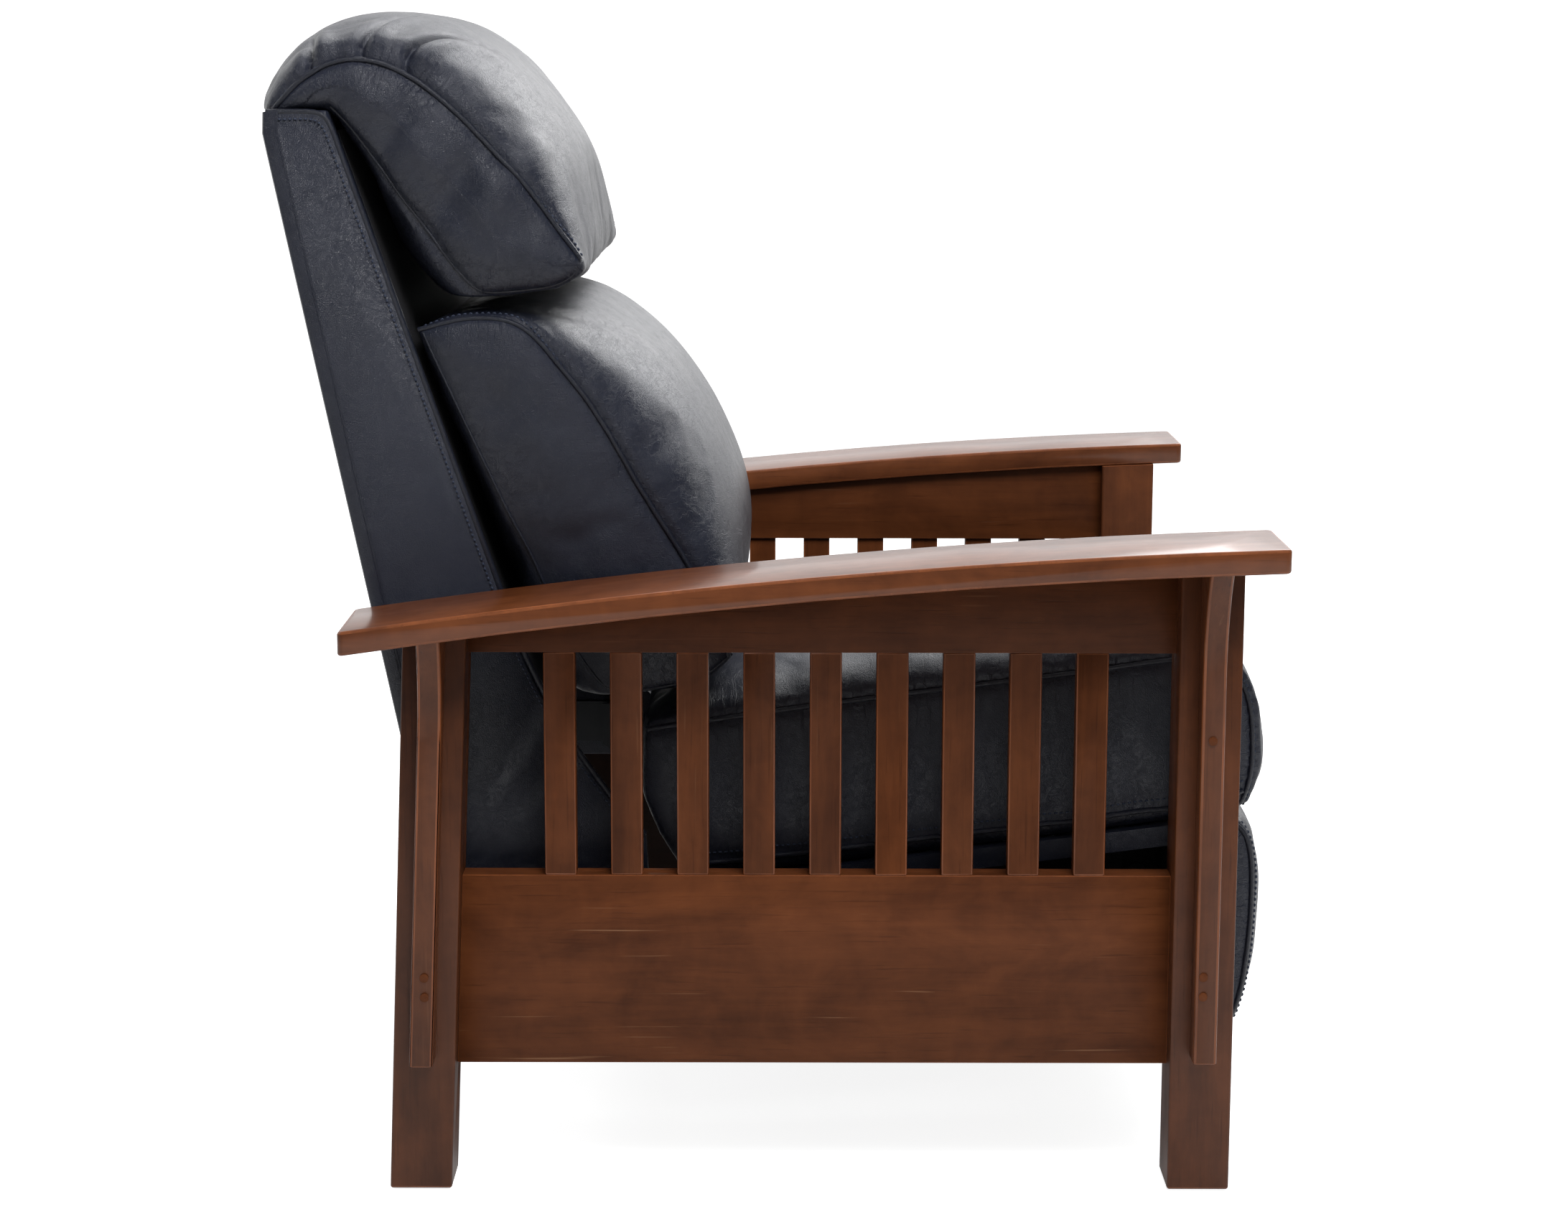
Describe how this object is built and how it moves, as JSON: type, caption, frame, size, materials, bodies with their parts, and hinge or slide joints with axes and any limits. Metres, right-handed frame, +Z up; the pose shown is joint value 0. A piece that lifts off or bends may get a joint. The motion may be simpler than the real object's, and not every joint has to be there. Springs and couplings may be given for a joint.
{
  "type": "reclining armchair",
  "caption": "Mission armchair with slatted hardwood sides, bowed flat arms on corbels and leather cushions; the back reclines and a footrest unfolds from under the seat.",
  "frame": {"origin": "on the floor, in the middle of the chair's outer box", "axes": "+Z up, the chair faces -Y, +X to the sitter's left"},
  "size_m": [0.864, 0.9185, 1.0555],
  "materials": {
    "wood": "satin",
    "inner_wood": "matte",
    "leather": "satin",
    "lining": "matte",
    "steel": "satin",
    "nylon": "matte"
  },
  "bodies": {
    "frame": {"apron_left": "wood", "apron_right": "wood", "arm_left": "wood", "arm_right": "wood", "corner_blocks": "inner_wood", "foot_glides": "nylon", "front_corbel_left": "wood", "front_corbel_right": "wood", "front_leg_left": "wood", "front_leg_right": "wood", "front_stretcher": "wood", "glide_track_left": "steel", "glide_track_right": "steel", "rear_corbel_left": "wood", "rear_corbel_right": "wood", "rear_leg_left": "wood", "rear_leg_right": "wood", "rear_stretcher": "wood", "slats_left": "wood", "slats_right": "wood", "upper_rail_left": "wood", "upper_rail_right": "wood"},
    "back": {"back_bottom_rail": "inner_wood", "back_bracket_left": "steel", "back_bracket_right": "steel", "back_inner_panel": "lining", "back_middle_rail": "inner_wood", "back_pivot_pins": "steel", "back_rear_panel": "leather", "back_side_left": "leather", "back_side_right": "leather", "back_top_rail": "inner_wood", "head_pillow": "leather", "lumbar_pillow": "leather"},
    "control_links": {"control_link_left": "steel", "control_link_right": "steel"},
    "upper_links": {"control_pins": "steel", "upper_link_left": "steel", "upper_link_right": "steel"},
    "lower_links": {"elbow_pins": "steel", "link_cross_tube": "steel", "lower_link_left": "steel", "lower_link_right": "steel"},
    "footrest": {"footrest_board": "inner_wood", "footrest_bracket_left": "steel", "footrest_bracket_right": "steel", "footrest_pad": "leather", "footrest_pins": "steel"},
    "seat": {"glide_shoes": "nylon", "glide_studs": "steel", "seat_cushion": "leather", "seat_deck": "leather", "seat_front_rail": "inner_wood", "seat_pivot_pins": "steel", "seat_plate_left": "steel", "seat_plate_right": "steel", "seat_rear_rail": "inner_wood", "seat_side_rail_left": "inner_wood", "seat_side_rail_right": "inner_wood"}
  },
  "joints": [
    {"name": "seat_glide", "type": "slide", "parent": "frame", "child": "seat", "axis": [0, -0.9914, 0.1305], "range_m": [0, 0.0651]},
    {"name": "back_recline", "type": "hinge", "parent": "seat", "child": "back", "pos_m": [0, 0.15, 0.3], "axis": [-1, 0, 0], "range_deg": [0, 30]},
    {"name": "lower_link_swing", "type": "hinge", "parent": "seat", "child": "lower_links", "pos_m": [0, -0.352, 0.268], "axis": [-1, 0, 0], "range_deg": [0, 106]},
    {"name": "upper_link_swing", "type": "hinge", "parent": "lower_links", "child": "upper_links", "pos_m": [0, -0.33182, 0.12441], "axis": [-1, 0, 0], "range_deg": [-149.5, 0]},
    {"name": "footrest_tilt", "type": "hinge", "parent": "upper_links", "child": "footrest", "pos_m": [0, -0.39521, 0.26036], "axis": [-1, 0, 0], "range_deg": [0, 133.6]},
    {"name": "control_link_swing", "type": "hinge", "parent": "seat", "child": "control_links", "pos_m": [0, -0.33, 0.289], "axis": [-1, 0, 0], "range_deg": [0, 99.7]}
  ],
  "couplings": [
    {"joint": "seat_glide", "follows": "back_recline", "m_per_rad": 0.12414},
    {"joint": "upper_link_swing", "follows": "lower_link_swing", "ratio": -1.4091},
    {"joint": "footrest_tilt", "follows": "lower_link_swing", "ratio": 1.26},
    {"joint": "control_link_swing", "follows": "lower_link_swing", "ratio": 0.94}
  ]
}
